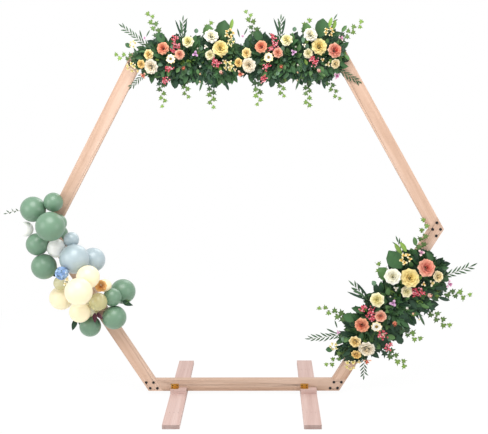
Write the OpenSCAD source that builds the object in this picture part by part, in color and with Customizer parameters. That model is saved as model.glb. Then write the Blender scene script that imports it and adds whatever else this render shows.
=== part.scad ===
// Wedding arch: a regular hexagon of six flat pine boards that stands on two
// foot boards, dressed with three artificial flower swags and a balloon cluster.
// The view along +Y is the front view; the floor is z = 0.

/* [Hexagon frame] */
// Outer length of one side of the hexagon
side = 1250; // [1000:10:1500]
// Width of every frame board
board_w = 80; // [70:1:120]
// Thickness of every frame board
board_t = 32; // [22:1:50]
// Clearance between the two halves of a corner lap
lap_gap = 0.4; // [0.2:0.1:1]

/* [Corner bolts] */
// Distance between neighbouring bolts, along either board
bolt_pitch = 48; // [40:1:52]
// Shank diameter
bolt_d = 8; // [6:1:10]
// Diameter of the hole that a shank passes through
bolt_hole_d = 8.6; // [8.2:0.1:11]
// Diameter of the flat head
head_d = 18; // [14:0.5:22]
// Height of the flat head
head_h = 3; // [2:0.5:6]
// Width across flats of the hex socket
socket_af = 5; // [4:0.5:8]
// Depth of the hex socket
socket_depth = 2; // [1:0.5:2.5]
// Washer diameter at the rear
washer_d = 20; // [16:1:26]
// Washer thickness
washer_t = 1.6; // [1:0.1:3]
// Width across flats of the nut
nut_af = 13; // [10:0.5:17]
// Nut height
nut_h = 6.5; // [4:0.5:10]
// Clearance under a head and under a washer
head_gap = 0.2; // [0.1:0.1:0.5]

/* [Feet] */
// Length of a foot board, front to back
foot_l = 890; // [700:10:1200]
// Width of a foot board
foot_w = 105; // [80:1:150]
// Thickness of a foot board
foot_t = 28; // [20:1:45]
// Distance of each foot's middle from the middle of the arch
foot_x = 424; // [300:1:500]
// Depth of the cleat on each side of the frame, front to back
cleat_d = 40; // [25:1:60]
// Height of a cleat
cleat_h = 26; // [20:1:45]
// Clearance between boards that stand on or against each other
seat_gap = 0.2; // [0.1:0.1:0.5]
// Diameter of the three peg holes near each end of a foot
peg_d = 5; // [3:0.5:8]
// Distance between two peg holes
peg_pitch = 27; // [20:1:40]
// Distance of the peg holes from the end of a foot
peg_in = 150; // [60:1:250]

/* [Angle brackets] */
// Width of a bracket
bracket_w = 50; // [30:1:80]
// Length of each leg
bracket_leg = 25; // [18:1:40]
// Thickness of the metal
bracket_t = 2; // [1.5:0.1:3]
// Distance of a bracket's middle from the foot's middle, to the left
bracket_off = 26; // [0:1:27]
// Distance between the two screws of a leg
screw_pitch = 30; // [16:1:36]
// Distance of the screws from the heel
screw_up = 14; // [10:1:18]
// Screw shank diameter
screw_d = 3.5; // [3:0.1:5]
// Screw length under the head
screw_l = 16; // [10:1:22]
// Screw head diameter
screw_head_d = 8; // [6:0.5:10]
// Screw head height
screw_head_h = 2; // [1.5:0.1:3]
// Clearance around a screw
screw_gap = 0.3; // [0.2:0.1:0.6]

/* [Swags] */
// Size of the two swags on the top board, against the one at the side
top_scale = 0.787; // [0.6:0.001:1]
// Distance of the pair of top swags from the middle of the board, to the right
top_shift = 10; // [-20:1:20]
// From an end of the top board to the outer end of a core
top_margin = 62; // [55:1:120]
// Between the cores of the two top swags
top_between = 6; // [4:1:40]
// Middle of the side swag, along the lower right board from its lower corner
side_along = 656; // [500:1:760]
// Middle of the side swag, in from the board's outer edge
side_in = 17; // [0:1:60]
// Turn of the side swag against its board, counterclockwise
side_turn = -12; // [-25:1:25]
// Half length of the side swag's core
side_half = 355; // [250:5:400]
// Clearance between a swag's core and the board
core_gap = 0.3; // [0.1:0.1:1]
// Radius of the core at its middle
core_r = 46; // [30:1:60]
// Diameter of the wire stem that carries a bloom
stem_d = 5; // [3:0.5:8]
// Clearance of a stem in the core, of leaves against it and of a bloom on its stem
stem_gap = 0.3; // [0.1:0.1:0.6]
// Thickness of a cloth leaf
leaf_t = 1.6; // [0.8:0.1:3]
// Distance between two layers of leaves
layer = 7; // [5:1:10]
// Diameter of the wire of a trail
wire_d = 3; // [2:0.5:4]
// Height of the trails over the board, between two layers of leaves
trail_z = 8.5; // [8:0.25:9]

/* [Balloons] */
// Wall of a balloon
skin = 1; // [0.6:0.1:2]
// Clearance between two balloons that press together, and of a neck at its board
press_gap = 0.3; // [0.1:0.1:0.8]
// Diameter of a neck that is pulled tight
neck_d = 6; // [5:0.5:10]
// Bore of a balloon's mouth
mouth_d = 3; // [2:0.5:4]

/* [Hidden] */
$fn = 64;
deg60 = 60;
cot60 = 1 / tan(60);
apothem = side * sqrt(3) / 2;
centre_z = foot_t + seat_gap + apothem;
front_y = -board_t / 2;
lap_len = board_w / sin(60);

pine = [0.86, 0.72, 0.58];
pale_pine = [0.88, 0.74, 0.66];
black = [0.08, 0.08, 0.08];
brass = [0.80, 0.62, 0.28];
leaf_green = [0.20, 0.34, 0.15];
cream = [0.96, 0.90, 0.76];
coral = [0.93, 0.55, 0.42];
berry_red = [0.80, 0.30, 0.38];

// Blooms of a swag: along, up, radius, kind (0 rose, 1 peony, 2 daisy, 3 bud)
pale_blooms = [
  [-296, 35, 35, 0], [-356, -30, 30, 0], [-282, -48, 50, 1], [-431, -50, 36, 1],
  [-411, 112, 27, 0], [-138, 4, 36, 2], [-7, 121, 40, 0], [164, 154, 48, 1],
  [297, 175, 34, 2], [226, 72, 54, 1], [150, 26, 32, 0], [346, -48, 32, 0]];
warm_blooms = [
  [-190, 78, 42, 1], [-70, 34, 34, 0], [-46, -61, 26, 3], [-340, -106, 27, 3],
  [337, 44, 50, 1], [42, 35, 24, 3], [354, -128, 28, 3], [225, -92, 26, 3]];
// Berry sprays: along, up, radius of the spray
berry_sprays = [[-91, 98, 22], [201, -34, 22], [-182, -149, 18], [-155, -62, 20]];
all_stems = concat(pale_blooms, warm_blooms, berry_sprays);
// Where the right end of the left top swag goes under its neighbour
under_from = 335;
// Trails of a swag: start along, end along, end up, leaves, leaf length, leaf width
trail_table = [
  [-172, -295, 340, 6, 36, 30], [150, 150, -372, 7, 36, 30], [-70, -33, -290, 5, 36, 30],
  [-235, -214, -330, 6, 36, 30], [208, 384, -316, 6, 36, 30], [213, 540, 232, 5, 36, 30],
  [-213, -545, 34, 4, 36, 30], [-196, -490, 232, 6, 50, 12], [222, 530, -176, 6, 54, 13],
  [-252, -440, -186, 5, 50, 12], [186, 330, 250, 4, 46, 14], [-60, -45, 250, 5, 46, 12],
  [110, 150, 268, 3, 40, 34]];

// Balloons, from the hexagon's left corner: x, y, z, radius, board that the neck
// is tied to (4 upper left, 5 lower left, -1 none); neighbours press each other flat
green_balloons = [
  [-15, -80, 163, 78, -1], [113, -80, 206, 59, 4], [123, -208, 85, 88, -1],
  [129, -75, 74, 55, 4], [80, 79, -35, 61, -1], [-8, -80, -59, 70, -1],
  [31, -106, -195, 79, -1], [481, 39, -411, 81, -1], [438, -79, -407, 58, -1],
  [445, -88, -539, 76, -1], [286, -82, -599, 68, -1]];
blue_balloons = [
  [197, -50, -39, 48, -1], [229, -124, -142, 91, -1], [310, 6, -187, 77, -1]];
cream_balloons = [
  [326, -202, -233, 71, -1], [301, -337, -279, 82, -1], [102, -35, -426, 77, 5],
  [253, -170, -469, 67, -1], [397, -80, -329, 41, -1]];
white_balloons = [[108, -77, -85, 59, 5], [-70, -80, 39, 46, -1]];
clear_balloons = [
  [121, -87, -310, 46, 5], [363, -148, -412, 58, -1], [291, -69, -488, 51, 5]];
// Cloth flowers on the balloons: x, y, z, radius, from the same corner, and the
// balloon under it, by its place in all_balloons
garland_heads = [[172, -215, -204, 42, 12], [384, -145, -314, 38, 18]];
// The leaf sprig at the far left: from a balloon outwards
sprig_from = [-92.8, -80, 154];
sprig_to = [-178, -80, 138];
all_balloons = concat(green_balloons, blue_balloons, cream_balloons,
                      white_balloons, clear_balloons);
// The balloons' zero: the left corner, to the whole millimetre above the floor
corner_at = [-side, 0, round(centre_z)];

// ---- frame ----

// Puts a drawing of the front view (x right, y up) upright in the frame's plane
module upright() { rotate([90, 0, 0]) children(); }

// The place of board k: 0 is the bottom, then counterclockwise from the front
module at_board(k)
  translate([0, 0, centre_z]) upright() rotate([0, 0, deg60 * k])
    translate([-side / 2, -apothem, 0]) children();

// The half of a lap that is taken away at the start corner, front half
module lap_cut() {
  shoulder = lap_len + lap_gap / sin(60);
  translate([0, 0, -lap_gap / 2]) linear_extrude(board_t)
    polygon([[-2 * board_w, -1], [shoulder + cot60, -1],
             [shoulder - (board_w + 1) * cot60, board_w + 1],
             [-2 * board_w, board_w + 1]]);
}

// Four bolt places on the lap at the start corner
module at_bolts() {
  cx = lap_len / 4;
  for (a = [-0.5, 0.5], b = [-0.5, 0.5])
    translate([cx + bolt_pitch * (a - b * cos(60)),
               board_w / 2 + bolt_pitch * b * sin(60), 0]) children();
}

module board_blank()
  linear_extrude(board_t, center = true)
    polygon([[0, 0], [side, 0], [side + board_w * cot60, board_w],
             [-board_w * cot60, board_w]]);

module board(k) {
  color(pine) difference() {
    at_board(k) difference() {
      board_blank();
      lap_cut();
      translate([side, 0, 0]) rotate([0, 180, 0]) lap_cut();
      at_bolts() cylinder(d = bolt_hole_d, h = board_t + 2, center = true);
      translate([side, 0, 0]) rotate([0, 180, 0]) at_bolts()
        cylinder(d = bolt_hole_d, h = board_t + 2, center = true);
    }
    if (k == 0) for (s = [-1, 1]) face_screw_holes(s);
  }
}

// A through bolt with a flat socket head in front, washer and nut at the rear
module bolt() {
  under = board_t / 2 + head_gap;
  difference() {
    union() {
      translate([0, 0, under]) cylinder(d1 = head_d, d2 = head_d - 1.5, h = head_h);
      translate([0, 0, -under - washer_t - nut_h - 1.5])
        cylinder(d = bolt_d, h = 2 * under + washer_t + nut_h + 1.5 + 0.5);
      translate([0, 0, -under - washer_t]) cylinder(d = washer_d, h = washer_t);
      translate([0, 0, -under - washer_t - nut_h])
        cylinder(d = nut_af / cos(30), h = nut_h, $fn = 6);
    }
    translate([0, 0, under + head_h - socket_depth])
      cylinder(d = socket_af / cos(30), h = socket_depth + 1, $fn = 6);
  }
}

// The bolts of the corner at the start of board k
module corner_bolts(k) color(black) at_board(k) at_bolts() bolt();

// ---- feet ----

module foot(s) color(pale_pine) difference() {
  translate([s * foot_x - foot_w / 2, -foot_l / 2, 0]) cube([foot_w, foot_l, foot_t]);
  for (e = [-1, 1], k = [-1, 0, 1])
    translate([s * foot_x + k * peg_pitch, e * (foot_l / 2 - peg_in), -1])
      cylinder(d = peg_d, h = foot_t + 2);
}

// The middle of the brackets on foot s
function bracket_x(s) = s * foot_x - bracket_off;

module cleats(s) color(pale_pine) difference() {
  for (f = [-1, 1])
    translate([s * foot_x - foot_w / 2,
               f > 0 ? board_t / 2 + seat_gap : -board_t / 2 - seat_gap - cleat_d,
               foot_t + seat_gap])
      cube([foot_w, cleat_d, cleat_h]);
  top_screw_holes(s);
}

// Screw places on the standing leg (against the frame) of both brackets of foot s
module at_face_screws(s)
  for (f = [0, 1], i = [-0.5, 0.5])
    rotate([0, 0, 180 * f])
      translate([(f > 0 ? -1 : 1) * bracket_x(s) + i * screw_pitch,
                 -board_t / 2 - seat_gap - bracket_t,
                 foot_t + 2 * seat_gap + cleat_h + screw_up])
        rotate([90, 0, 0]) children();

// Screw places on the lying leg (on the cleat)
module at_top_screws(s)
  for (f = [0, 1], i = [-0.5, 0.5])
    rotate([0, 0, 180 * f])
      translate([(f > 0 ? -1 : 1) * bracket_x(s) + i * screw_pitch,
                 -board_t / 2 - seat_gap - screw_up,
                 foot_t + 2 * seat_gap + cleat_h + bracket_t])
        children();

module screw_hole()
  translate([0, 0, -bracket_t - screw_l - 1])
    cylinder(d = screw_d + 2 * screw_gap, h = screw_l + bracket_t + 2);
module face_screw_holes(s) at_face_screws(s) screw_hole();
module top_screw_holes(s) at_top_screws(s) screw_hole();

module screw() {
  translate([0, 0, screw_gap / 2]) cylinder(d1 = screw_head_d, d2 = screw_head_d - 2,
                                       h = screw_head_h);
  translate([0, 0, -screw_l]) cylinder(d = screw_d, h = screw_l + screw_gap);
}

module angle_brackets(s) color(brass) difference() {
  for (f = [0, 1]) rotate([0, 0, 180 * f])
    translate([(f > 0 ? -1 : 1) * bracket_x(s), -board_t / 2 - seat_gap,
               foot_t + 2 * seat_gap + cleat_h])
      rotate([90, 0, -90]) linear_extrude(bracket_w, center = true)
        polygon([[0, 0], [bracket_leg, 0], [bracket_leg, bracket_t],
                 [bracket_t, bracket_t], [bracket_t, bracket_leg],
                 [0, bracket_leg]]);
  at_face_screws(s) screw_hole();
  at_top_screws(s) screw_hole();
}
module bracket_screws(s) color(black) {
  at_face_screws(s) screw();
  at_top_screws(s) screw();
}

// ---- swags ----

// The core of a top swag fills half of the board between the corner bolts
top_half = (side / 2 - top_margin - top_between / 2) / 2;
function half(i) = i == 2 ? side_half : (top_half - (i == 0 ? -top_shift : top_shift)
                                         / 2) / top_scale;
// Middle of swag i against the hexagon's centre: x, up
function swag_middle(i) =
  i == 2 ? [side / 2 + side_along * cos(60) - side_in * sin(60),
            -apothem + side_along * sin(60) + side_in * cos(60)] :
  [top_shift + (i == 0 ? -1 : 1) * (top_between / 2 + half(i) * top_scale),
   apothem - board_w / 2];

// Places a swag: 0 top left, 1 top right, 2 side; x along, y up, z to the front
module at_swag(i) {
  m = swag_middle(i);
  translate([m[0], front_y - core_gap, centre_z + m[1]]) upright()
    rotate([0, 0, i == 2 ? deg60 + side_turn : 0])
      scale(i == 2 ? 1 : top_scale) children();
}

// A round rod between two points
module rod(p, q, d) {
  v = q - p;
  l = norm(v);
  translate(p) rotate([0, acos(v[2] / l), atan2(v[1], v[0])]) cylinder(d = d, h = l);
}

// Radius of a core along its length, as a share of the half length
function core_at(share) =
  share < 0.6 ? core_r * (1 - share / 3) :
  share < 0.96 ? core_r * (0.8 - (share - 0.6) * 1.25) : core_r * 0.35;
// How far the core, grown by g, reaches sideways at height z over the board
function core_side(u, z, h, g = 0) =
  let (r = core_at(abs(u) / h) + g) sqrt(max(1, r * r - z * z));

// A bloom's back, the direction it faces and where its stem enters the core
function bloom_at(b) = [b[0], b[1], 60 + 0.25 * b[2]];
function unit(v) = v / norm(v);
function bloom_dir(b) = unit([b[0] / 700, b[1] / 260, 1]);
function stem_foot(b, h) =
  [sign(b[0]) * h * 0.72 * pow(abs(b[0]) / 440, 0.8), b[1] * 0.08, 22];

module at_bloom(b) {
  d = bloom_dir(b);
  translate(bloom_at(b)) rotate([0, acos(d[2]), atan2(d[1], d[0])]) children();
}
// Where a stem ends: the edge of its cut end seats on the back of the bloom
function stem_end(b, h) =
  let (d = bloom_dir(b), lean = norm(cross(d, unit(bloom_at(b) - stem_foot(b, h)))))
    bloom_at(b) - d * (stem_gap + lean * stem_d / 2);
module stem(b, h, more = 0)
  rod(stem_foot(b, h) - unit(stem_end(b, h) - stem_foot(b, h)) * more,
      stem_end(b, h), stem_d + 2 * more);

// A spindle of moss on a wire, flat at the back, with a socket for each stem and trail
module core(i, h, blooms) color(leaf_green) difference() {
  intersection() {
    rotate([0, 90, 0]) rotate_extrude() polygon([
      [0, -h], [core_at(0.96), -h * 0.96], [core_at(0.6), -h * 0.6], [core_at(0), 0],
      [core_at(0.6), h * 0.6], [core_at(0.96), h * 0.96], [0, h]]);
    translate([-h, -core_r, 0]) cube([2 * h, 2 * core_r, core_r]);
  }
  for (b = blooms) stem(b, h, stem_gap);
  for (t = trails_of(i)) wire(t, i, stem_gap);
}

// A leaf outline: two arcs that meet in points, base at the origin, along +x
module leaf(l, w) {
  r = (l * l / 4 + w * w / 4) / w;
  linear_extrude(leaf_t, center = true) intersection() {
    translate([l / 2, r - w / 2]) circle(r, $fn = 96);
    translate([l / 2, w / 2 - r]) circle(r, $fn = 96);
  }
}

// The fringe of leaves along both sides of a core, in three layers
module fringe(i) color(leaf_green) {
  h = half(i);
  n = 15;
  for (k = [0:n - 1], m = [-1, 1]) {
    u = h * 0.82 * (2 * k / (n - 1) - 1);
    z = 5 + layer * ((k + (m > 0 ? 1 : 0)) % 3) + (i == 1 ? layer / 2 : 0);
    l = (m > 0 ? 128 : 112) - 30 * pow(u / h, 2) + 10 * (k % 2);
    translate([u, m * (core_side(u, z - leaf_t / 2, h) + stem_gap), z])
      rotate([0, 0, m * (90 + [24, -16, 8][k % 3])]) leaf(l, 46);
  }
  // the ends that no neighbour covers
  for (e = [-1, 1]) if (i == 2 || (i == 0) == (e < 0))
    for (k = [0:2]) {
      a = 34 * (k - 1);
      z = i == 1 ? [8.5, 15.5, 5][k] : [5, 12, 14.6][k];
      back = 0.04 * h * (z - leaf_t / 2) / core_at(0.96);
      translate([e * (h - back + stem_gap), 0, z])
        rotate([0, 0, (e > 0 ? 0 : 180) + a]) leaf(96, 40);
    }
}

// A trail: a wire out of the core, with leaves on alternating sides that grow 0.3 mm
// off it; t is start along, end along, end up, number of leaves, leaf length and width
function wire_z(i) = trail_z + (i == 1 ? layer / 2 : 0);
function wire_from(t, i) = [t[0], sign(t[2]) * 8, wire_z(i)];
function wire_to(t, i) = [t[1], t[2], wire_z(i)];
module wire(t, i, more = 0)
  rod(wire_from(t, i) - unit(wire_to(t, i) - wire_from(t, i)) * more,
      wire_to(t, i), wire_d + 2 * more);
module trail(t, i) {
  d = wire_to(t, i) - wire_from(t, i);
  a = atan2(d[1], d[0]);
  lean = max(48, 2 * atan(t[5] / t[4]) + 6);
  wire(t, i);
  for (k = [1:t[3] - 1]) {
    m = k % 2 == 0 ? -1 : 1;
    translate(wire_from(t, i) + d * (0.45 + 0.53 * k / t[3])) rotate([0, 0, a])
      translate([0, m * (wire_d / 2 + stem_gap), 0]) rotate([0, 0, m * lean])
        leaf(t[4], t[5]);
  }
  translate(wire_to(t, i) + unit(d) * stem_gap) rotate([0, 0, a]) leaf(t[4], t[5]);
}
// A top swag drops the trails that its neighbour would cover
function trails_of(i) =
  [for (t = trail_table) if ((i != 0 || t[1] < under_from) && (i != 1 || t[1] > -400)) t];
module trails(i) color(leaf_green) for (t = trails_of(i)) trail(t, i);

// A bloom is turned about its own axis: cups of petals round a heart
module bloom_head(r, kind) rotate_extrude() polygon(
  kind == 0 ? [
    [0, 0], [r * 0.5, r * 0.04], [r * 0.9, r * 0.32], [r, r * 0.66],
    [r * 0.86, r * 0.58], [r * 0.74, r * 0.46], [r * 0.72, r], [r * 0.58, r * 0.66],
    [r * 0.44, r * 1.16], [r * 0.2, r * 1.1], [0, r * 0.97]] :
  kind == 1 ? [
    [0, 0], [r * 0.55, r * 0.04], [r * 0.94, r * 0.34], [r, r * 0.62],
    [r * 0.88, r * 0.5], [r * 0.8, r * 0.82], [r * 0.66, r * 0.64],
    [r * 0.56, r * 0.92], [r * 0.4, r * 0.72], [r * 0.28, r * 0.9], [0, r * 0.76]] :
  kind == 2 ? [
    [0, 0], [r * 0.3, 0], [r, r * 0.3], [r * 0.98, r * 0.4], [r * 0.34, r * 0.24],
    [r * 0.24, r * 0.42], [0, r * 0.48]] : [
    [0, 0], [r * 0.55, r * 0.1], [r * 0.9, r * 0.5], [r, r * 0.95],
    [r * 0.8, r * 1.4], [r * 0.45, r * 1.7], [0, r * 1.75]]);
module bloom(b, h) {
  at_bloom(b) bloom_head(b[2], b[3]);
  stem(b, h);
}

module berry_spray(b, h) {
  r = b[2];
  at_bloom(b) {
    sphere(r * 0.5);
    for (a = [0:72:359])
      rotate([0, 0, a]) translate([r * 0.72, 0, r * 0.3]) sphere(r * 0.42);
  }
  stem(b, h);
}

// The right end of the left top swag lies under its neighbour: no blooms there
function shown(i, list) = [for (b = list) if (i != 0 || b[0] < under_from) b];
module swag_core(i) at_swag(i) core(i, half(i), shown(i, all_stems));
module swag_leaves(i) at_swag(i) fringe(i);
module swag_trails(i) at_swag(i) trails(i);
module swag_pale(i) at_swag(i) color(cream)
  for (b = shown(i, pale_blooms)) bloom(b, half(i));
module swag_warm(i) at_swag(i) color(coral)
  for (b = shown(i, warm_blooms)) bloom(b, half(i));
module swag_berries(i) at_swag(i) color(berry_red)
  for (b = berry_sprays) berry_spray(b, half(i));

// ---- balloons ----

function touching(a, b) =
  let (d = norm([a[0] - b[0], a[1] - b[1], a[2] - b[2]]))
    d > 1 && d < a[3] + b[3] + press_gap;

// A thin shell that is dented where a neighbour presses against it, with an
// open mouth on the side of the board that carries it
module balloon(a) {
  near = [for (b = all_balloons) if (touching(a, b)) b];
  difference() {
    union() {
      dented(a, near, 0);
      if (a[4] >= 0) neck(a);
    }
    dented(a, near, skin);
    to_board(a) cylinder(d = mouth_d, h = 2 * a[3]);
  }
}
module dented(a, near, inset) difference() {
  translate([a[0], a[1], a[2]]) sphere(a[3] - inset);
  for (b = near) {
    // the two share the dent: each keeps to its own side of the contact plane
    d = [b[0] - a[0], b[1] - a[1], b[2] - a[2]];
    l = norm(d);
    keep = (l * l + a[3] * a[3] - b[3] * b[3]) / (2 * l) - press_gap / 2 - inset;
    translate([a[0], a[1], a[2]]) rotate([0, acos(d[2] / l), atan2(d[1], d[0])])
      translate([0, 0, keep]) cylinder(r = a[3], h = a[3]);
  }
}
// The point of board k's surface that is nearest to p, both from the left corner
function clamp(v, lo, hi) = max(lo, min(hi, v));
function on_board(p, k) =
  let (u = p[0] - side, v = p[2] + corner_at[2] - centre_z, t = deg60 * k,
       s = clamp(u * cos(t) + v * sin(t), -side / 2, side / 2),
       w = clamp(v * cos(t) - u * sin(t), -apothem, board_w - apothem),
       y = clamp(p[1], -board_t / 2, board_t / 2))
    [s * cos(t) - w * sin(t), y, s * sin(t) + w * cos(t)]
      + [side, 0, centre_z - corner_at[2]];

// From the middle of a balloon to the nearest point of its board
function middle(a) = [a[0], a[1], a[2]];
function way(a) =
  let (c = middle(a), u = on_board(c, 4) - c, l = on_board(c, 5) - c)
    a[4] == 4 ? u : a[4] == 5 ? l : norm(u) < norm(l) ? u : l;
module to_board(a) {
  d = way(a);
  translate(middle(a)) rotate([0, acos(d[2] / norm(d)), atan2(d[1], d[0])]) children();
}

// The neck with its knot, pulled to the board
module neck(a) to_board(a) {
  reach = norm(way(a)) - a[3];
  translate([0, 0, a[3] - skin]) cylinder(d = neck_d, h = reach + skin - press_gap);
  if (reach > 2 * neck_d) translate([0, 0, a[3] + neck_d]) sphere(d = 2 * neck_d);
}
module balloons(list, c) color(c) translate(corner_at) for (a = list) balloon(a);

// A cloth flower head that hugs the balloons under it
module garland_head(h) difference() {
  b = all_balloons[h[4]];
  translate(middle(h)) sphere(h[3]);
  translate(middle(b)) sphere(b[3] + press_gap);
}
module garland_sprig() {
  d = sprig_to - sprig_from;
  rod(sprig_from, sprig_to, 3);
  for (k = [1:3], m = [-1, 1])
    translate(sprig_from + d * (k - 0.4) / 3) upright_leaf(-90 + m * 42 - 82, 26, 11);
  translate(sprig_to - d * 0.02) upright_leaf(172, 24, 10);
}
module upright_leaf(turn, l, w) rotate([90, 0, 0]) rotate([0, 0, turn]) leaf(l, w);
module garland() translate(corner_at) {
  color([0.50, 0.62, 0.78]) garland_head(garland_heads[0]);
  color([0.90, 0.66, 0.30]) garland_head(garland_heads[1]);
  color(leaf_green) garland_sprig();
}

module board_bottom() board(0);
module board_lower_right() board(1);
module board_upper_right() board(2);
module board_top() board(3);
module board_upper_left() board(4);
module board_lower_left() board(5);
module bolts_bottom_left() corner_bolts(0);
module bolts_bottom_right() corner_bolts(1);
module bolts_right() corner_bolts(2);
module bolts_top_right() corner_bolts(3);
module bolts_top_left() corner_bolts(4);
module bolts_left() corner_bolts(5);
module foot_left() foot(-1);
module foot_right() foot(1);
module cleats_left() cleats(-1);
module cleats_right() cleats(1);
module angle_brackets_left() angle_brackets(-1);
module angle_brackets_right() angle_brackets(1);
module bracket_screws_left() bracket_screws(-1);
module bracket_screws_right() bracket_screws(1);
module swag_top_left_core() swag_core(0);
module swag_top_left_leaves() swag_leaves(0);
module swag_top_left_trails() swag_trails(0);
module swag_top_left_pale_blooms() swag_pale(0);
module swag_top_left_warm_blooms() swag_warm(0);
module swag_top_left_berries() swag_berries(0);
module swag_top_right_core() swag_core(1);
module swag_top_right_leaves() swag_leaves(1);
module swag_top_right_trails() swag_trails(1);
module swag_top_right_pale_blooms() swag_pale(1);
module swag_top_right_warm_blooms() swag_warm(1);
module swag_top_right_berries() swag_berries(1);
module swag_side_core() swag_core(2);
module swag_side_leaves() swag_leaves(2);
module swag_side_trails() swag_trails(2);
module swag_side_pale_blooms() swag_pale(2);
module swag_side_warm_blooms() swag_warm(2);
module swag_side_berries() swag_berries(2);
module balloons_green() balloons(green_balloons, [0.55, 0.66, 0.55]);
module balloons_blue() balloons(blue_balloons, [0.55, 0.63, 0.70]);
module balloons_cream() balloons(cream_balloons, [0.93, 0.87, 0.70]);
module balloons_white() balloons(white_balloons, [0.93, 0.93, 0.90]);
module balloons_clear() balloons(clear_balloons, [0.80, 0.78, 0.62]);
module garland_flowers() garland();

board_bottom();
board_lower_right();
board_upper_right();
board_top();
board_upper_left();
board_lower_left();
bolts_bottom_left();
bolts_bottom_right();
bolts_right();
bolts_top_right();
bolts_top_left();
bolts_left();
foot_left();
foot_right();
cleats_left();
cleats_right();
angle_brackets_left();
angle_brackets_right();
bracket_screws_left();
bracket_screws_right();
swag_top_left_core();
swag_top_left_leaves();
swag_top_left_trails();
swag_top_left_pale_blooms();
swag_top_left_warm_blooms();
swag_top_left_berries();
swag_top_right_core();
swag_top_right_leaves();
swag_top_right_trails();
swag_top_right_pale_blooms();
swag_top_right_warm_blooms();
swag_top_right_berries();
swag_side_core();
swag_side_leaves();
swag_side_trails();
swag_side_pale_blooms();
swag_side_warm_blooms();
swag_side_berries();
balloons_green();
balloons_blue();
balloons_cream();
balloons_white();
balloons_clear();
garland_flowers();
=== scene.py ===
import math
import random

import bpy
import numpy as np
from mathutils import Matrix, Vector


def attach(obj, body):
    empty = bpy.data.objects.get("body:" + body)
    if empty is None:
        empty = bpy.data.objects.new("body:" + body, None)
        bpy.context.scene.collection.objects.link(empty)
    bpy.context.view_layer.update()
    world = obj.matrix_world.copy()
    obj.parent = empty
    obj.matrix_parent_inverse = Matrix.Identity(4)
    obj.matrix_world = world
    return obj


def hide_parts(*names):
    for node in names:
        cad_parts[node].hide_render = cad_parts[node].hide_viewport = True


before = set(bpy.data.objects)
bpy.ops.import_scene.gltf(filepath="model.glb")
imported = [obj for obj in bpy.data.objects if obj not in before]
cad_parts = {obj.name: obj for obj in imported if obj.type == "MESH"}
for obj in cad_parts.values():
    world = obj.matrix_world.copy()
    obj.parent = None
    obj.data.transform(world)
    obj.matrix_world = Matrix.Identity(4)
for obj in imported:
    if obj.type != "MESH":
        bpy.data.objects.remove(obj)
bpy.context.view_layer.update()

# %% [markdown]
# # A hexagonal wedding arch, dressed
# The CAD model brings the boards, bolts, feet and brackets at their true place and size.
# They keep their shape and get their finish here. The cloth flowers, the leaves and the
# balloons are soft, so their plain solids are replaced by pieces that are grown here.
# Lengths are metres; x is right, y goes away from the viewer and z is up.

# %% [markdown]
# ## The camera
# The photograph was taken from about head height, a little right of the middle, and looks
# down at the arch. The place and lens come from lining up the six corners of the hexagon.
# A matrix built from three directions is clearer here than three turned angles.

# %% Camera
EYE = Vector((0.1457, -4.1476, 2.1687))
YAW, PITCH, ROLL = 0.0302, 0.2304, -0.0155      # radians
FOCAL_PIXELS, PICTURE_WIDTH = 688.2, 488
SENSOR = 36.0

ahead = Vector((-math.sin(YAW) * math.cos(PITCH), math.cos(YAW) * math.cos(PITCH),
                -math.sin(PITCH)))
level = Vector((math.cos(YAW), math.sin(YAW), 0))
above = level.cross(ahead)
right = level * math.cos(ROLL) + above * math.sin(ROLL)
up = above * math.cos(ROLL) - level * math.sin(ROLL)
lens = bpy.data.cameras.new("camera")
lens.sensor_fit, lens.sensor_width = "HORIZONTAL", SENSOR
lens.lens = FOCAL_PIXELS * SENSOR / PICTURE_WIDTH
camera = bpy.data.objects.new("camera", lens)
turn = Matrix((right, up, -ahead)).transposed().to_4x4()
camera.matrix_world = Matrix.Translation(EYE) @ turn
bpy.context.collection.objects.link(camera)
bpy.context.scene.camera = camera
print("lens", round(lens.lens, 1), "mm")

# %% [markdown]
# ## Light and ground
# A product photograph on white: one broad soft light from above and in front, a weaker one
# on each side, and an even white world. The ground is a pale sheet that takes a faint
# shadow. For the camera, mirrors and glass it glows white, so it never needs more lamp.

# %% Lamps, world and ground
def lamp(name, place, target, size, watts):
    light = bpy.data.lights.new(name, "AREA")
    light.shape, light.size, light.energy = "DISK", size, watts
    thing = bpy.data.objects.new(name, light)
    thing.location = place
    aim = Vector(target) - Vector(place)
    thing.rotation_euler = aim.to_track_quat("-Z", "Y").to_euler()
    bpy.context.collection.objects.link(thing)
    return thing


MIDDLE = (0, 0, 1.1)
lamp("lamp_above", (-0.6, -2.0, 4.6), MIDDLE, 3.2, 150)
lamp("lamp_left", (-3.6, -2.6, 2.2), MIDDLE, 2.4, 46)
lamp("lamp_right", (3.8, -2.4, 2.0), MIDDLE, 2.4, 40)
lamp("lamp_behind", (0.4, 3.2, 3.6), MIDDLE, 2.6, 50)

world = bpy.data.worlds.new("studio")
bpy.context.scene.world = world
world.use_nodes = True
world.node_tree.nodes["Background"].inputs["Color"].default_value = (1, 1, 1, 1)
world.node_tree.nodes["Background"].inputs["Strength"].default_value = 0.62


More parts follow.
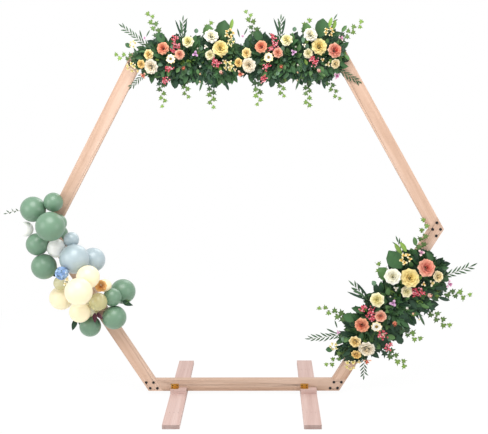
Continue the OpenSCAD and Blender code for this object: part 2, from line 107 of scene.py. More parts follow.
def white_for_the_camera(tree, shader, output):
    """Mixes in a white glow that only the camera, mirrors and glass see."""
    nodes, links = tree.nodes, tree.links
    path = nodes.new("ShaderNodeLightPath")
    seen = path.outputs["Is Camera Ray"]
    for ray in ("Is Glossy Ray", "Is Transmission Ray"):
        most = nodes.new("ShaderNodeMath")
        most.operation = "MAXIMUM"
        links.new(seen, most.inputs[0])
        links.new(path.outputs[ray], most.inputs[1])
        seen = most.outputs[0]
    glow = nodes.new("ShaderNodeEmission" if output.bl_idname.endswith("Material")
                     else "ShaderNodeBackground")
    glow.inputs["Strength"].default_value = 1.0
    glow.inputs["Color"].default_value = (1, 1, 1, 1)
    mix = nodes.new("ShaderNodeMixShader")
    links.new(seen, mix.inputs[0])
    links.new(shader.outputs[0], mix.inputs[1])
    links.new(glow.outputs[0], mix.inputs[2])
    links.new(mix.outputs[0], output.inputs[0])
    return mix


white_for_the_camera(world.node_tree, world.node_tree.nodes["Background"],
                     world.node_tree.nodes["World Output"])
bpy.context.scene.view_settings.view_transform = "Standard"

sheet = bpy.data.materials.new("ground_sheet")
sheet.use_nodes = True
paper = sheet.node_tree.nodes["Principled BSDF"]
paper.inputs["Base Color"].default_value = (0.96, 0.96, 0.96, 1)
paper.inputs["Roughness"].default_value = 0.9
glow_mix = white_for_the_camera(sheet.node_tree, paper,
                                sheet.node_tree.nodes["Material Output"])
# Near the feet the sheet keeps a share of its own shading, so the shadow stays there.
# Farther off (in metres from the middle) it fades into the white.
SHADOW_FADES, SHADOW_GONE, GLOW_NEAR_FEET = 1.1, 2.6, 0.93
nodes, links = sheet.node_tree.nodes, sheet.node_tree.links
share = nodes.new("ShaderNodeMath")
share.operation = "MULTIPLY"
spot = nodes.new("ShaderNodeTexCoord")
far = nodes.new("ShaderNodeVectorMath")
far.operation = "LENGTH"
fade = nodes.new("ShaderNodeMapRange")
for socket, value in (("From Min", SHADOW_FADES), ("From Max", SHADOW_GONE),
                      ("To Min", GLOW_NEAR_FEET), ("To Max", 1.0)):
    fade.inputs[socket].default_value = value
links.new(spot.outputs["Object"], far.inputs[0])
links.new(far.outputs["Value"], fade.inputs["Value"])
links.new(fade.outputs["Result"], share.inputs[1])
links.new(glow_mix.inputs[0].links[0].from_socket, share.inputs[0])
links.new(share.outputs[0], glow_mix.inputs[0])
bpy.ops.mesh.primitive_plane_add(size=40, location=(0, 0, -0.0005))
ground = bpy.context.object
ground.name = "ground"
ground.data.materials.append(sheet)
lamps = [thing.name for thing in bpy.data.objects if thing.type == "LIGHT"]
print("lamps:", ", ".join(lamps))

# %% [markdown]
# ## A small kit for materials
# Every finish below is a shader with some noise in front of it. These helpers make the
# nodes by short calls, so that each finish reads as a recipe.

# %% Shader helpers
class Finish:
    """A material whose nodes are added and wired by short calls."""

    def __init__(self, name):
        self.material = bpy.data.materials.new(name)
        self.material.use_nodes = True
        self.tree = self.material.node_tree
        self.surface = self.tree.nodes["Principled BSDF"]

    def node(self, kind, settings=(), **inputs):
        made = self.tree.nodes.new("ShaderNode" + kind)
        for key, value in dict(settings).items():
            setattr(made, key, value)
        for key, value in inputs.items():
            self.put(made, key.replace("_", " "), value)
        return made

    def put(self, node, socket, value):
        """Sets a socket to a number or colour, or wires it to another node."""
        target = node.inputs[socket]
        if isinstance(value, bpy.types.NodeSocket):
            self.tree.links.new(value, target)
        elif isinstance(value, (tuple, list)) and len(value) == 3 \
                and target.type == "RGBA":
            target.default_value = (*value, 1)
        else:
            target.default_value = value

    def set(self, **inputs):
        for key, value in inputs.items():
            self.put(self.surface, key.replace("_", " "), value)
        return self

    def ramp(self, factor, *stops):
        """A colour ramp; each stop is (place, colour)."""
        made = self.tree.nodes.new("ShaderNodeValToRGB")
        band = made.color_ramp
        while len(band.elements) < len(stops):
            band.elements.new(0.5)
        for element, (place, colour) in zip(band.elements, stops):
            element.position = place
            if isinstance(colour, (int, float)):
                colour = (colour,) * 3
            element.color = (*colour, 1)
        self.tree.links.new(factor, made.inputs[0])
        return made.outputs[0]

    def noise(self, vector, scale, detail=4.0, roughness=0.55, distortion=0.0):
        made = self.tree.nodes.new("ShaderNodeTexNoise")
        for key, value in (("Scale", scale), ("Detail", detail),
                           ("Roughness", roughness), ("Distortion", distortion)):
            made.inputs[key].default_value = value
        self.tree.links.new(vector, made.inputs["Vector"])
        return made.outputs[0]

    def place(self, turn=(0, 0, 0), scale=(1, 1, 1), shift=(0, 0, 0)):
        """Object coordinates, turned, then stretched."""
        source = self.tree.nodes.new("ShaderNodeTexCoord")
        turned = self.tree.nodes.new("ShaderNodeMapping")
        turned.inputs["Rotation"].default_value = turn
        turned.inputs["Location"].default_value = shift
        stretched = self.tree.nodes.new("ShaderNodeMapping")
        stretched.inputs["Scale"].default_value = scale
        self.tree.links.new(source.outputs["Object"], turned.inputs["Vector"])
        self.tree.links.new(turned.outputs[0], stretched.inputs["Vector"])
        return stretched.outputs[0]

    def mix(self, factor, one, two, blend="MIX"):
        made = self.tree.nodes.new("ShaderNodeMix")
        made.data_type, made.blend_type = "RGBA", blend
        for socket, value in ((made.inputs[0], factor), (made.inputs[6], one),
                              (made.inputs[7], two)):
            if isinstance(value, bpy.types.NodeSocket):
                self.tree.links.new(value, socket)
            elif isinstance(value, (tuple, list)):
                socket.default_value = (*value, 1)
            else:
                socket.default_value = value
        return made.outputs[2]

    def bump(self, height, strength, distance):
        made = self.tree.nodes.new("ShaderNodeBump")
        made.inputs["Strength"].default_value = strength
        made.inputs["Distance"].default_value = distance
        self.tree.links.new(height, made.inputs["Height"])
        self.tree.links.new(made.outputs[0], self.surface.inputs["Normal"])
        return self


def srgb(red, green, blue):
    """A colour as it reads on screen, from 0 to 255, turned into linear light."""
    def linear(c):
        c /= 255
        return c / 12.92 if c <= 0.04045 else ((c + 0.055) / 1.055) ** 2.4
    return (linear(red), linear(green), linear(blue))


print("a grey of 128 on screen is", round(srgb(128, 128, 128)[0], 3), "in linear light")

# %% [markdown]
# ## Pine
# The boards are planed softwood. Its growth rings are long thin cones, so a ring pattern
# stretched along the board gives stripes on the face, arches where a ring is cut flat, and
# curved lines on the sawn end. Long noise adds pink and tan bands, short noise adds pores.

# %% Wood material
def pine(name, turn, shift, light, mid, dark, rings=42, contrast=0.38):
    """Planed softwood; turn (about y) makes x of the pattern run along the board."""
    wood = Finish(name)
    along = wood.place(turn, (0.10, 1, 1), shift)
    band = wood.node("TexWave", (("wave_type", "RINGS"), ("rings_direction", "X")),
                     Vector=along, Scale=rings, Distortion=5.0, Detail=3.0,
                     Detail_Scale=1.2)
    stripe = wood.ramp(band.outputs["Fac"], (0.15, 0.0), (0.75, 1.0))
    broad = wood.noise(wood.place(turn, (0.9, 20, 20), shift), 1.0, 5, 0.6)
    fine = wood.noise(wood.place(turn, (9, 420, 420), shift), 1.0, 3, 0.6)
    body = wood.ramp(broad, (0.30, light), (0.52, mid), (0.74, dark))
    ringed = wood.mix(stripe, body, wood.mix(0.5, body, dark))
    faded = wood.mix(contrast, body, ringed)
    fibre = wood.ramp(fine, (0.38, 0.86), (0.62, 1.0))
    colour = wood.mix(0.55, faded, fibre, "MULTIPLY")
    # a sawn end drinks the light: it is darker than the planed faces
    source = wood.node("TexCoord")
    facing = wood.node("Mapping", (("vector_type", "VECTOR"),),
                       Vector=source.outputs["Normal"], Rotation=turn)
    split = wood.node("SeparateXYZ", Vector=facing.outputs[0])
    squared = wood.node("Math", (("operation", "POWER"),))
    wood.tree.links.new(split.outputs[0], squared.inputs[0])
    squared.inputs[1].default_value = 2.0
    sawn = wood.ramp(squared.outputs[0], (0.86, 1.0), (0.96, 0.66))
    wood.set(Base_Color=wood.mix(1.0, colour, sawn, "MULTIPLY"), Roughness=0.62,
             Specular_IOR_Level=0.28)
    wood.bump(fine, 0.22, 0.0006)
    return wood.material


LIGHT, MID, DARK = srgb(232, 202, 182), srgb(214, 180, 157), srgb(184, 146, 122)
PALE, ROSY, TAN = srgb(210, 186, 179), srgb(198, 170, 162), srgb(176, 145, 136)
# painted shade: every board has the same wood, darkened by its own share; the share is how
# light it is beside the lightest wood, and the bottom board is darkest
BOARD_SHADES = {"board_bottom": 0.74, "board_lower_right": 0.84, "board_upper_right": 0.90,
          "board_top": 0.85, "board_upper_left": 0.87, "board_lower_left": 0.85}


def shaded(colour, share_of_light):
    return tuple(c * share_of_light for c in colour)


def eased(node, width):
    """Takes the sharpness off a CAD solid's edges, as sandpaper does."""
    weld = node.modifiers.new("weld", "WELD")
    weld.merge_threshold = 0.00002
    ease = node.modifiers.new("eased edges", "BEVEL")
    ease.width, ease.segments = width, 2
    ease.limit_method, ease.angle_limit = "ANGLE", math.radians(50)


def refinish(node, material):
    """Gives a CAD node a finish in place of its plain colour."""
    for slot in node.material_slots:
        slot.material = material


# painted shade: the wood colours of each board are darkened by that board's share
for number, (name, light) in enumerate(BOARD_SHADES.items()):
    angle = math.radians(60 * number)
    shift = (0.37 * number, 0.06 + 0.011 * number, 0.43 + 0.017 * number)
    refinish(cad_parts[name],
             pine("pine_" + name, (0, angle, 0), shift, shaded(LIGHT, light),
                  shaded(MID, light), shaded(DARK, light)))
    eased(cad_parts[name], 0.0012)

for number, name in enumerate(["foot_left", "foot_right"]):
    finish = pine("pine_" + name, (0, 0, math.pi / 2), (0.3 * number, 0.03, 0.21),
                  PALE, ROSY, TAN, rings=36)
    refinish(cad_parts[name], finish)
for number, name in enumerate(["cleats_left", "cleats_right"]):
    finish = pine("pine_" + name, (0, 0, 0), (0.2 + 0.3 * number, 0.05, 0.1),
                  PALE, ROSY, TAN, rings=40)
    refinish(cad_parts[name], finish)
    eased(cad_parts[name], 0.0012)
print("wood on", len(BOARD_SHADES), "boards, two feet and four cleats")

# %% [markdown]
# ## Bolts and brackets
# The bolt heads are blackened steel with a satin skin. The brackets are thin pressed brass
# with dark screws. Their CAD solids have the right shape, so they only get a finish.

# %% Metal materials
steel = Finish("black_steel")
grime = steel.noise(steel.place(), 260, 3)
steel.set(Base_Color=steel.ramp(grime, (0.3, (0.012, 0.012, 0.013)),
                                (0.7, (0.035, 0.034, 0.034))),
          Metallic=0.6, Roughness=steel.ramp(grime, (0.3, 0.34), (0.7, 0.5)))
steel.bump(grime, 0.1, 0.0003)
brass = Finish("pressed_brass")
tarnish = brass.noise(brass.place(), 90, 4)
brass.set(Base_Color=brass.ramp(tarnish, (0.3, srgb(214, 172, 92)),
                                (0.7, srgb(176, 128, 56))),
          Metallic=0.85, Roughness=brass.ramp(tarnish, (0.3, 0.28), (0.7, 0.46)))
brass.bump(tarnish, 0.08, 0.0004)
for name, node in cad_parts.items():
    if name.startswith(("bolts", "bracket_screws")):
        refinish(node, steel.material)
    if name.startswith("angle_brackets"):
        refinish(node, brass.material)
print("metal finishes:", steel.material.name, "and", brass.material.name)

# %% [markdown]
# ## Growing petals and leaves
# Cloth petals and leaves are all one shape: a thin blade with a width that swells and
# narrows, cupped across and curled along. One function lays its points on a grid, and a
# bunch gathers hundreds of blades into one mesh. Each point carries a tint, so one
# material serves flowers of every colour and each petal can fade from heart to edge.

# %% Blades and bunches
class Bunch:
    """Gathers points, faces and tints of many small parts into one mesh."""

    def __init__(self):
        self.points, self.faces, self.tints, self.count = [], [], [], 0

    def add(self, points, faces, tints):
        points = np.asarray(points, float)
        tints = np.asarray(tints, float)
        if tints.ndim == 1:
            tints = np.tile(tints, (len(points), 1))
        self.points.append(points)
        self.tints.append(tints)
        self.faces.extend([tuple(i + self.count for i in face) for face in faces])
        self.count += len(points)

    def make(self, name, material, matrix=None):
        points = np.concatenate(self.points)
        mesh = bpy.data.meshes.new(name)
        mesh.from_pydata(points.tolist(), [], self.faces)
        layer = mesh.color_attributes.new("tint", "FLOAT_COLOR", "POINT")
        colours = np.ones((len(points), 4))
        colours[:, :3] = np.clip(np.concatenate(self.tints), 0, 1)
        layer.data.foreach_set("color", colours.ravel())
        for face in mesh.polygons:
            face.use_smooth = True
        mesh.materials.append(material)
        piece = bpy.data.objects.new(name, mesh)
        if matrix is not None:
            piece.matrix_world = matrix
        bpy.context.collection.objects.link(piece)
        return piece


def blade(length, width, rows=6, cols=3, swell=0.5, blunt=0.6, cup=0.0, curl=0.0,
          ruffle=0.0, seed=0):
    """A petal or leaf that grows along +y from the origin, with its face to +z.
    swell is where it is widest, blunt how round its end is, cup and curl bend it."""
    t = np.linspace(0, 1, rows)
    s = np.linspace(-1, 1, cols)
    warp = t ** (math.log(0.5) / math.log(swell))
    half = width / 2 * np.sin(math.pi * warp) ** blunt
    half[0] = max(half[0], width * 0.04)
    half[-1] = max(half[-1], width * 0.03)
    step = length / (rows - 1)
    angle = curl * t
    along = np.concatenate([[0], np.cumsum(np.cos(angle[1:]) * step)])
    rise = np.concatenate([[0], np.cumsum(np.sin(angle[1:]) * step)])
    wave = np.sin(t[:, None] * 9 + s[None, :] * 4 + seed) * ruffle * width
    x = half[:, None] * s[None, :]
    y = along[:, None] + 0 * x
    z = rise[:, None] + cup * half[:, None] * s[None, :] ** 2 + wave * t[:, None]
    points = np.stack([x, y, z], -1).reshape(-1, 3)
    faces = [(r * cols + c, r * cols + c + 1, (r + 1) * cols + c + 1, (r + 1) * cols + c)
             for r in range(rows - 1) for c in range(cols - 1)]
    return points, faces, t, s


def basis(direction, face=(0, 0, 1), roll=0.0):
    """Columns: across, along the direction, and the face normal nearest to face."""
    along = np.asarray(direction, float)
    along = along / np.linalg.norm(along)
    normal = np.asarray(face, float)
    normal = normal - along * (normal @ along)
    if np.linalg.norm(normal) < 1e-6:
        normal = np.array([along[1], -along[0], 0.1])
    normal = normal / np.linalg.norm(normal)
    across = np.cross(along, normal)
    c, s = math.cos(roll), math.sin(roll)
    return np.stack([across * c + normal * s, along, normal * c - across * s], 1)


sample_blade = blade(60, 25)
print("one blade has", len(sample_blade[0]), "points and", len(sample_blade[1]), "faces")

# %% [markdown]
# ## Roses, peonies, daisies and buds
# A rose is rings of petals: the inner ones stand upright and wrap round the heart, the
# outer ones lean out and roll back at the rim. Wrapping a blade round the flower's axis
# gives both from one formula. Each kind has its own table of rings.

# %% Flower heads
# ring: petals, base radius, lean in degrees (0 upright, 90 flat), length, width; lengths
# are shares of the head's radius
ROSE = [(3, 0.05, 2, 0.80, 0.70), (4, 0.12, 8, 0.84, 0.80), (5, 0.20, 20, 0.86, 0.95),
        (6, 0.27, 40, 0.84, 1.05), (7, 0.32, 58, 0.80, 1.10), (7, 0.32, 74, 0.74, 1.12)]
PEONY = [(5, 0.06, 4, 0.62, 0.5), (7, 0.16, 14, 0.68, 0.58), (8, 0.24, 28, 0.74, 0.68),
         (9, 0.30, 46, 0.76, 0.80), (9, 0.34, 62, 0.74, 0.90), (9, 0.32, 76, 0.74, 0.96)]
DAISY = [(9, 0.12, 74, 0.86, 0.62), (9, 0.10, 62, 0.78, 0.56)]
BUD = [(3, 0.30, -22, 1.2, 1.2), (4, 0.42, -12, 1.1, 1.1), (5, 0.40, 16, 0.8, 0.8)]
STAR = [(3, 0.06, 20, 0.95, 0.70), (3, 0.06, 48, 1.05, 0.72)]
KINDS = [ROSE, PEONY, DAISY, BUD, STAR]


def flower(bunch, centre, direction, radius, kind, heart, edge, dice):
    """Adds a flower head whose back is at centre and which looks along direction."""
    look = basis(direction, (0, 1, 0.2), dice.uniform(0, 6))
    # columns of look: across, along the axis, normal; the head's own axis is +z
    frame_of = np.stack([look[:, 0], look[:, 2], look[:, 1]], 1)
    heart, edge = np.array(heart), np.array(edge)
    rings = KINDS[kind]
    rows, cols = 6, 5
    lift = 0.1 * radius
    for ring, (count, base, lean, length, width) in enumerate(rings):
        share = ring / max(1, len(rings) - 1)
        start = dice.uniform(0, 6)
        for k in range(count):
            grown = dice.uniform(0.9, 1.08)
            points, faces, t, s = blade(
                length * radius * grown, width * radius, rows, cols, swell=0.70,
                blunt=0.38, ruffle=0.03 if kind == 1 else 0.012, seed=dice.uniform(0, 6))
            x, y, z = points.T
            tt = np.repeat(t, len(s))
            tilt = math.radians(lean + dice.uniform(-5, 5))
            # the rim rolls outward more on the outer rings
            bend = tilt + (0.35 + 0.55 * share) * tt ** 2 * (1 if kind != 3 else -0.4)
            step = length * radius * grown / (rows - 1)
            bend = bend.reshape(rows, -1)[1:, 0]
            reach = np.concatenate([[0], np.cumsum(np.sin(bend))])
            climb = np.concatenate([[0], np.cumsum(np.cos(bend))])
            out = base * radius + np.repeat(reach, len(s)) * step
            high = lift + np.repeat(climb, len(s)) * step
            # a shallow cup: the sides of a petal stand nearer to the eye than its middle
            high = high + 0.10 * radius * (x / (width * radius / 2)) ** 2 * share
            around = start + math.tau * k / count
            round_radius = np.maximum(out, 0.16 * radius)
            angle = around + x / round_radius * 0.95
            shift = 0.012 * radius * (k % 3)
            petal = np.stack([(out + shift) * np.cos(angle), (out + shift) * np.sin(angle),
                              high + z], 1)
            fade = np.clip(0.25 * tt + 0.75 * share + dice.uniform(-0.1, 0.1), 0, 1)
            # painted shade: each petal darkens towards its base, deep among the other
            # petals
            shade = 0.76 + 0.24 * tt
            tint = (heart * (1 - fade)[:, None] + edge * fade[:, None]) * shade[:, None]
            bunch.add(petal @ frame_of.T + centre, faces, tint)
    if kind == 2:
        button(bunch, centre, frame_of, radius * 0.26, radius * 0.34, srgb(132, 104, 40))
    if kind == 3:
        sepals(bunch, centre, frame_of, radius, dice)


def button(bunch, centre, frame_of, radius, high, colour):
    """A domed heart of stamens."""
    turns, levels = 10, 4
    points, faces = [(0, 0, high)], []
    for level_ in range(1, levels + 1):
        a = math.pi / 2 * level_ / levels
        for k in range(turns):
            b = math.tau * k / turns
            r = radius * math.sin(a) * (1 + 0.08 * (k % 2))
            points.append((r * math.cos(b), r * math.sin(b),
                           high * 0.55 + high * 0.45 * math.cos(a)))
    for k in range(turns):
        faces.append((0, 1 + k, 1 + (k + 1) % turns))
        for level_ in range(levels - 1):
            a, b = 1 + level_ * turns + k, 1 + level_ * turns + (k + 1) % turns
            faces.append((a, a + turns, b + turns, b))
    bunch.add(np.array(points) @ frame_of.T + centre, faces, colour)


def sepals(bunch, centre, frame_of, radius, dice):
    """Five green sepals that hold a bud from below."""
    for k in range(5):
        points, faces, t, s = blade(radius * 0.95, radius * 0.5, rows=5, cols=3,
                                    swell=0.35, blunt=0.9, cup=0.5)
        a = math.tau * k / 5 + dice.uniform(-0.1, 0.1)
        out = np.array([math.cos(a), math.sin(a), 0.0])
        rows = basis(out * 0.55 + np.array([0, 0, 1.0]), -out)
        bunch.add((points @ rows.T + out * radius * 0.12) @ frame_of.T + centre, faces,
                  srgb(88, 120, 60))


print("a rose head has", sum(ring[0] for ring in ROSE), "petals")

# %% [markdown]
# ## Leaves, sprigs and ivy
# The bed of a swag mixes dark rose leaves, ivy and short grey-green leaves. Trails grow
# out of it: ivy with five-cornered leaves, and olive with narrow ones. All of them are
# printed cloth, so one material with tints serves them too.

# %% Leaf makers
DEEP, GREEN, FRESH = srgb(34, 60, 42), srgb(56, 90, 54), srgb(116, 146, 66)
GREY_GREEN, OLIVE, STEM = srgb(96, 126, 100), srgb(62, 88, 60), srgb(96, 104, 58)
MOSS = srgb(84, 118, 70)


def leaf(bunch, base, direction, face, length, width, colour, dice, **shape):
    """One leaf with a folded midrib; the tint is paler along the rib."""
    options = dict(rows=6, cols=5, swell=0.42, blunt=0.85, cup=0.35,
                   curl=dice.uniform(-0.7, 0.1))
    options.update(shape)
    points, faces, t, s = blade(length, width, **options)
    rows, cols = options["rows"], options["cols"]
    rib = np.tile(1 - np.abs(s), rows)
    vary = dice.uniform(0.78, 1.2)
    tint = np.array(colour)[None, :] * (vary + 0.22 * rib)[:, None]
    m = basis(direction, face, dice.uniform(-0.3, 0.3))
    bunch.add(points @ m.T + np.asarray(base), faces, tint)


IVY = [(0, 0), (0.30, -0.16), (0.52, 0.10), (0.30, 0.26), (0.44, 0.58), (0.14, 0.56),
       (0, 1.0), (-0.14, 0.56), (-0.44, 0.58), (-0.30, 0.26), (-0.52, 0.10),
       (-0.30, -0.16)]


def ivy_leaf(bunch, base, direction, face, size, colour, dice):
    """A leaf of five corners round a raised middle."""
    outline = np.array([(x * size, y * size, -0.10 * size * (abs(x) + y * 0.5))
                        for x, y in IVY])
    middle = np.array([[0, 0.28 * size, 0.06 * size]])
    points = np.concatenate([middle, outline])
    count = len(IVY)
    faces = [(0, 1 + k, 1 + (k + 1) % count) for k in range(count)]
    tint = np.tile(np.array(colour) * dice.uniform(0.8, 1.15), (count + 1, 1))
    tint[0] *= 1.35
    m = basis(direction, face, dice.uniform(-0.4, 0.4))
    bunch.add(points @ m.T + np.asarray(base), faces, tint)


def twig(bunch, path, thick, colour, sides=5):
    """A thin round stem along a path of points."""
    path = np.asarray(path, float)
    points, faces = [], []
    for k, point in enumerate(path):
        ahead_ = path[min(k + 1, len(path) - 1)] - path[max(k - 1, 0)]
        m = basis(ahead_, (0.3, 0.2, 1))
        r = thick / 2 * (1 - 0.5 * k / len(path))
        for j in range(sides):
            a = math.tau * j / sides
            points.append(point + (m[:, 0] * math.cos(a) + m[:, 2] * math.sin(a)) * r)
    for k in range(len(path) - 1):
        for j in range(sides):
            a, b = k * sides + j, k * sides + (j + 1) % sides
            faces.append((a, b, b + sides, a + sides))
    last = (len(path) - 1) * sides
    faces.append(tuple(range(sides)))
    faces.append(tuple(last + j for j in reversed(range(sides))))
    bunch.add(points, faces, colour)


def bowed(start, end, sag, steps=7):
    """Points from start to end that bow sideways by sag."""
    start, end = np.asarray(start, float), np.asarray(end, float)
    t = np.linspace(0, 1, steps)[:, None]
    return start + (end - start) * t + np.asarray(sag, float) * np.sin(math.pi * t)


def ivy_trail(bunch, start, end, size, dice, sag=(0, 0, 12)):
    """Ivy: big dark leaves near its root, small fresh ones at its tip."""
    path = bowed(start, end, sag, 8)
    twig(bunch, path, 2.4, STEM)
    whole = sum(np.linalg.norm(b - a) for a, b in zip(path[:-1], path[1:]))
    gone = walked = 0.0
    side = 1
    for a, b in zip(path[:-1], path[1:]):
        length = np.linalg.norm(b - a)
        while walked < length:
            here = a + (b - a) * walked / length
            age = (gone + walked) / whole
            ahead_ = (b - a) / length
            across = np.array([-ahead_[1], ahead_[0], 0]) * side
            way = ahead_ * dice.uniform(0.1, 0.9) + across + \
                np.array([0, 0, dice.uniform(-0.3, 0.3)])
            tone = min(1, max(0, age * 1.5 - 0.45 + dice.uniform(-0.15, 0.15)))
            colour = [d * (1 - tone) + f * tone for d, f in zip(DEEP, FRESH)]
            grown = size * (1.25 - 0.45 * age) * dice.uniform(0.85, 1.1)
            ivy_leaf(bunch, here + way * grown * 0.14 + np.array([0, 0, 2]), way,
                     (dice.uniform(-0.3, 0.3), 0.1, 1), grown, colour, dice)
            side = -side
            walked += size * (0.34 + 0.55 * age)
        walked -= length
        gone += length


def olive_sprig(bunch, start, end, size, dice, colour=OLIVE, sag=(0, 0, 0.01)):
    path = bowed(start, end, sag, 7)
    twig(bunch, path, 2.4, STEM)
    count = max(5, int(np.linalg.norm(path[-1] - path[0]) / (size * 0.26)))
    for k in range(count):
        place = (k + 1) / count * (len(path) - 1)
        i = min(int(place), len(path) - 2)
        here = path[i] + (path[i + 1] - path[i]) * (place - i)
        ahead_ = path[i + 1] - path[i]
        ahead_ = ahead_ / np.linalg.norm(ahead_)
        across = np.array([-ahead_[1], ahead_[0], 0]) * (1 if k % 2 else -1)
        way = ahead_ * 1.1 + across * (0 if k == count - 1 else dice.uniform(0.5, 0.9))
        leaf(bunch, here, way, (0, 0, 1), size * dice.uniform(0.8, 1.1), size * 0.2,
             colour, dice, rows=5, cols=3, swell=0.45, blunt=0.9, curl=-0.25)


sample_sprig = Bunch()
olive_sprig(sample_sprig, (0, 0, 0), (120, 0, 0), 24, random.Random(1))
print("an olive sprig 120 mm long has", len(sample_sprig.faces), "faces")

# %% Cloth materials
def cloth(name, weave, roughness, glow=0.0):
    """Printed cloth that takes its colour from the tint of each point."""
    fabric = Finish(name)
    tint = fabric.node("Attribute", (("attribute_name", "tint"),)).outputs["Color"]
    soft = fabric.noise(fabric.place(), 60, 3)
    threads = fabric.noise(fabric.place(), weave, 2)
    mottled = fabric.mix(0.30, tint, fabric.ramp(soft, (0.3, 0.72), (0.7, 1.0)),
                         "MULTIPLY")
    fabric.set(Base_Color=mottled, Roughness=roughness, Specular_IOR_Level=0.25,
               Sheen_Weight=glow, Sheen_Roughness=0.5)
    fabric.bump(threads, 0.25, 0.0008)
    return fabric.material


PETAL_CLOTH = cloth("petal_cloth", 900, 0.78, 0.15)
LEAF_CLOTH = cloth("leaf_cloth", 700, 0.5)
print("cloth finishes:", PETAL_CLOTH.name, "and", LEAF_CLOTH.name)

# %% [markdown]
# ## What a swag holds
# The three swags are one product in two sizes. Places are millimetres in the swag's own
# drawing: along, up, and out towards the viewer. The flowers stand where the CAD solids
# stand, so the tables here repeat theirs, with a heart colour and an edge colour each.

# %% Flowers of a swag
CREAM, BUTTER, YELLOW = srgb(250, 240, 214), srgb(248, 226, 150), srgb(240, 200, 96)
IVORY, WHITE, PEACH = srgb(252, 246, 232), srgb(252, 250, 244), srgb(248, 196, 160)
LILAC, PINK_WHITE = srgb(216, 150, 190), srgb(246, 214, 214)
ROSE_PINK, BERRY = srgb(232, 150, 160), srgb(206, 76, 92)

# along, up, radius, kind (a place in KINDS, or SPRAY), heart, edge
SPRAY = 5
PALE_FLOWERS = [
    (-296, 35, 35, 0, srgb(250, 212, 112), srgb(252, 236, 190)),
    (-356, -30, 30, 0, srgb(248, 204, 104), srgb(250, 224, 158)),
    (-282, -48, 50, 1, srgb(250, 232, 196), IVORY),
    (-431, -50, 36, SPRAY, srgb(240, 222, 130), srgb(250, 242, 204)),
    (-411, 112, 27, SPRAY, srgb(246, 232, 150), srgb(252, 246, 216)),
    (-138, 4, 36, 2, BUTTER, WHITE),
    (-7, 121, 40, 0, srgb(244, 230, 120), srgb(252, 247, 222)),
    (164, 154, 48, 1, srgb(250, 244, 208), WHITE),
    (297, 175, 34, SPRAY, YELLOW, srgb(252, 242, 200)),
    (226, 72, 54, 1, srgb(248, 220, 120), srgb(251, 236, 178)),
    (150, 26, 32, 0, srgb(232, 224, 150), srgb(250, 240, 216)),
    (346, -48, 32, 0, srgb(250, 226, 160), srgb(252, 240, 206))]
WARM_FLOWERS = [
    (-190, 78, 42, 1, srgb(224, 96, 56), srgb(249, 190, 154)),
    (-70, 34, 34, 0, srgb(232, 124, 84), srgb(250, 208, 182)),
    (-46, -61, 26, 3, srgb(204, 88, 62), srgb(236, 140, 108)),
    (-340, -106, 27, 4, srgb(220, 96, 70), srgb(250, 206, 180)),
    (337, 44, 50, 1, srgb(228, 76, 56), srgb(250, 200, 172)),
    (42, 35, 24, 4, srgb(196, 140, 190), srgb(230, 190, 222)),
    (354, -128, 28, 4, srgb(206, 120, 170), srgb(240, 200, 220)),
    (225, -92, 26, 3, srgb(226, 120, 100), srgb(250, 212, 196))]
# small loose flowers that the CAD leaves out: they ride on the leaves
SMALL_FLOWERS = [
    (-323, 152, 15, 4, LILAC, srgb(236, 196, 220)), (232, 26, 20, 4, YELLOW, BUTTER),
    (252, -18, 17, 4, YELLOW, CREAM), (291, -50, 22, 4, BUTTER, CREAM),
    (385, 128, 22, 4, LILAC, PINK_WHITE), (-148, -62, 17, 3, srgb(214, 200, 130), CREAM),
    (75, -52, 15, 3, CREAM, WHITE), (73, -106, 13, 3, srgb(214, 206, 140), PEACH),
    (70, -160, 11, 3, BUTTER, CREAM), (60, 74, 12, 3, CREAM, WHITE),
    (120, 84, 16, 4, CREAM, WHITE), (-382, -78, 16, 4, BUTTER, CREAM)]
BERRY_SPRAYS = [(-91, 98, 22), (201, -34, 22), (-182, -149, 18), (-155, -62, 20)]
EXTRA_BERRIES = [(-104, 150, 15), (-116, 62, 15), (178, -12, 16)]
UNDER_FROM = 335      # the left top swag ends under its neighbour


def bloom_out(radius):
    return 60 + 0.25 * radius


def bloom_direction(along, up_):
    way = np.array([along / 700, up_ / 260, 1.0])
    return way / np.linalg.norm(way)


print("flowers in the tables:", len(PALE_FLOWERS) + len(WARM_FLOWERS) + len(SMALL_FLOWERS))

# %% Where each swag hangs
# x of the middle, height over the hexagon's centre, turn in degrees, size
BOARD_UNDER, CORNER_OUT = 0.0282, 1.25
CENTRE_HIGH = BOARD_UNDER + CORNER_OUT * math.sqrt(3) / 2
SWAGS = {
    "swag_top_left": (-0.278, 1.0425, 0, 0.787),
    "swag_top_right": (0.288, 1.0425, 0, 0.787),
    "swag_side": (0.9383, -0.5059, 48, 1.0)}


def swag_matrix(x, rise, turned, size):
    """Swag drawing in millimetres to the row's metres: along, up, out to the viewer."""
    stand = Matrix(((1, 0, 0), (0, 0, -1), (0, 1, 0))).to_4x4()
    return (Matrix.Translation((x, -0.0163, CENTRE_HIGH + rise)) @ stand
            @ Matrix.Rotation(math.radians(turned), 4, "Z")
            @ Matrix.Scale(size * 0.001, 4))


for name, place in SWAGS.items():
    print(name, "is centred at", [round(c, 3) for c in swag_matrix(*place).translation])

# %% The bed of leaves
def reach_of_leaves(along):
    """How far the leaves reach down and up, measured along the swag."""
    up_ = np.interp(along, [-450, -380, -300, -200, -100, 0, 100, 200, 270, 340, 400, 450],
                    [50, 110, 140, 165, 160, 160, 180, 205, 210, 190, 150, 70])
    down = np.interp(along,
                     [-450, -400, -330, -250, -180, -60, 80, 150, 230, 320, 400, 450],
                     [-30, -80, -125, -155, -172, -176, -165, -188, -190, -165, -110, -40])
    return down, up_


